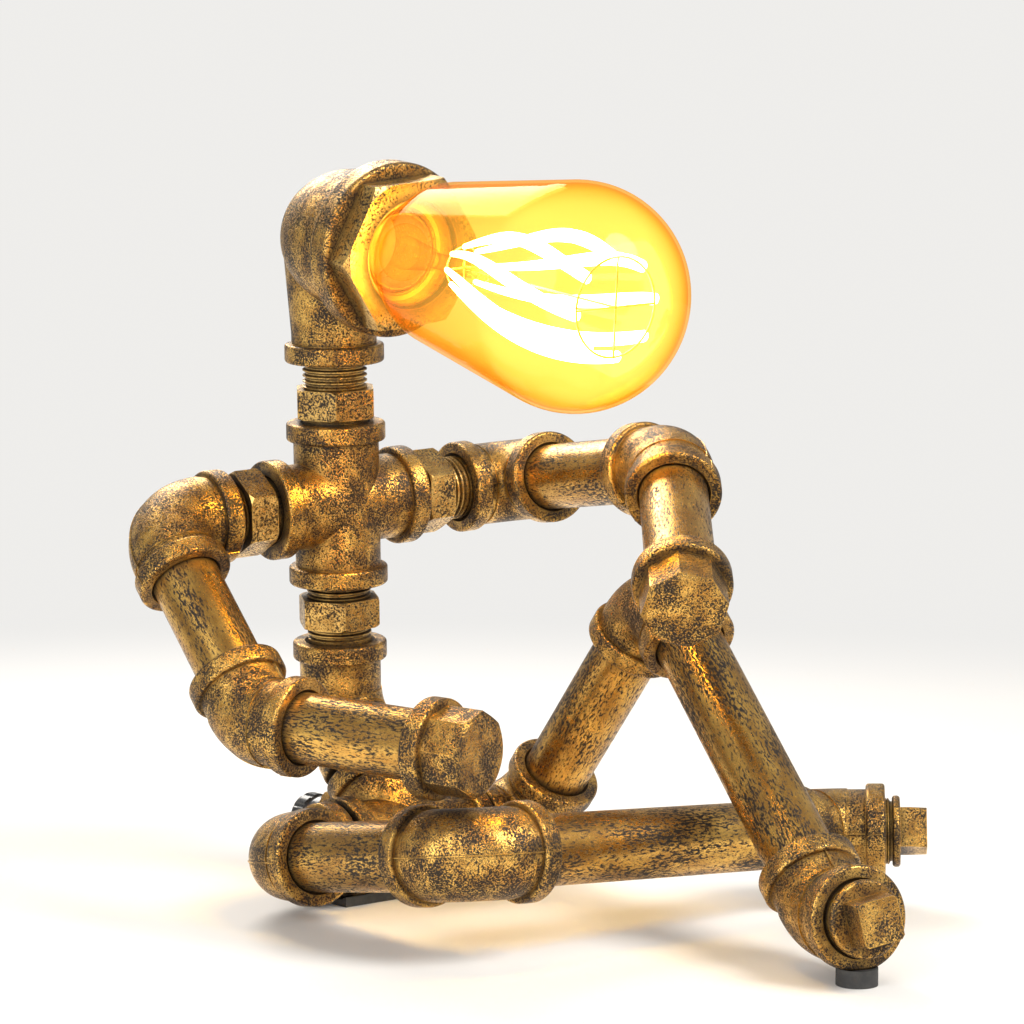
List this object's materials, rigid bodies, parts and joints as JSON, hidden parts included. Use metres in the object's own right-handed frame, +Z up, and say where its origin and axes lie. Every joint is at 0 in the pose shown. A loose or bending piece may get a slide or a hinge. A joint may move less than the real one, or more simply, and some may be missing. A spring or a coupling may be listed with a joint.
{
  "type": "seated pipe figure desk lamp",
  "caption": "Desk lamp built from threaded pipe fittings as a seated figure: turning arms and waist, a reducing elbow head holding a clear filament bulb, and a rotary switch behind the hips.",
  "frame": {"origin": "middle of the seat pad's underside, where the figure sits on the table", "axes": "+Z up from the table; the figure faces -Y; +X is the figure's left, along the hip line"},
  "size_m": [0.207, 0.2514, 0.2337],
  "materials": {
    "cast_fitting": "antique bronze paint on cast iron, black patina in the hollows and gold rubbed edges",
    "pipe": "antique bronze paint on steel pipe with black speckles",
    "nipple": "antique bronze paint on turned steel, worn bright on thread crests and corners",
    "pad": "matt black rubber",
    "seal": "soft grey rubber",
    "black_plastic": "glossy black moulded plastic",
    "switch_case": "matt blue moulded plastic",
    "lead": "matt black flexible sheath",
    "brass": "satin brass",
    "ceramic": "glazed off-white insulator",
    "amber_glass": "clear amber-tinted glass",
    "stem_glass": "clear glass stem",
    "filament": "glowing warm white filament coating"
  },
  "bodies": {
    "base": {"seat_pad": "pad", "hip_tee": "cast_fitting", "seat_nipple": "nipple", "right_hip_nipple": "nipple", "left_hip_nipple": "nipple", "right_hip_elbow": "cast_fitting", "left_hip_elbow": "cast_fitting", "right_thigh_pipe": "pipe", "left_thigh_pipe": "pipe", "right_knee_elbow": "cast_fitting", "left_knee_elbow": "cast_fitting", "right_shin_pipe": "pipe", "left_shin_pipe": "pipe", "right_foot_elbow": "cast_fitting", "left_foot_elbow": "cast_fitting", "right_foot_plug": "cast_fitting", "left_foot_plug": "cast_fitting", "left_foot_pad": "pad", "pelvis_elbow": "cast_fitting", "waist_nipple": "nipple", "hip_lead": "lead", "cable_gland": "black_plastic", "gland_seal": "seal", "gland_nut": "black_plastic", "switch_body": "switch_case", "switch_cover": "cast_fitting", "switch_nut": "brass"},
    "torso": {"chest_cross": "cast_fitting", "neck_nipple": "nipple", "right_shoulder_nipple": "nipple", "left_shoulder_nipple": "nipple", "chest_lead": "lead"},
    "head": {"head_elbow": "cast_fitting", "hex_bushing": "nipple", "holder_shell": "brass", "holder_core": "ceramic", "holder_thread": "brass", "centre_contact": "brass", "head_lead": "lead", "bulb_cap": "brass", "bulb_contact": "ceramic", "bulb_glass": "amber_glass", "bulb_stem": "stem_glass", "bulb_filaments": "filament"},
    "right_upper_arm": {"right_shoulder_elbow": "cast_fitting", "right_upper_arm_pipe": "pipe"},
    "right_forearm": {"right_arm_elbow": "cast_fitting", "right_forearm_pipe": "pipe", "right_hand_cap": "cast_fitting"},
    "left_upper_arm": {"left_shoulder_elbow": "cast_fitting", "left_upper_arm_pipe": "pipe"},
    "left_forearm": {"left_arm_elbow": "cast_fitting", "left_forearm_pipe": "pipe", "left_hand_cap": "cast_fitting"},
    "knob": {"switch_knob": "black_plastic"}
  },
  "joints": [
    {"name": "waist_turn", "type": "hinge", "parent": "base", "child": "torso", "pos_m": [-0.00281, 0.03099, 0.09768], "axis": [-0.0678, -0.0673, 0.9954], "range_deg": [-25, 15]},
    {"name": "head_turn", "type": "hinge", "parent": "torso", "child": "head", "pos_m": [-0.00773, 0.02611, 0.16985], "axis": [-0.0678, -0.0673, 0.9954], "range_deg": [-50, 50]},
    {"name": "right_arm_swing", "type": "hinge", "parent": "torso", "child": "right_upper_arm", "pos_m": [-0.04633, 0.03334, 0.1215], "axis": [-0.9933, 0.0984, -0.061], "range_deg": [0, 40]},
    {"name": "right_forearm_turn", "type": "hinge", "parent": "right_upper_arm", "child": "right_forearm", "pos_m": [-0.0714, -0.0081, 0.0776], "axis": [-0.0283, -0.7173, -0.6962], "range_deg": [-3, 60]},
    {"name": "left_arm_swing", "type": "hinge", "parent": "torso", "child": "left_upper_arm", "pos_m": [0.04059, 0.02474, 0.12683], "axis": [0.9933, -0.0984, 0.061], "range_deg": [-8, 3]},
    {"name": "left_forearm_turn", "type": "hinge", "parent": "left_upper_arm", "child": "left_forearm", "pos_m": [0.05645, -0.04825, 0.13607], "axis": [-0.1046, -0.9885, 0.1091], "range_deg": [-20, 60]},
    {"name": "switch_turn", "type": "hinge", "parent": "base", "child": "knob", "pos_m": [0, 0.035, 0.0175], "axis": [0, 1, 0], "range_deg": [0, 270]}
  ]
}
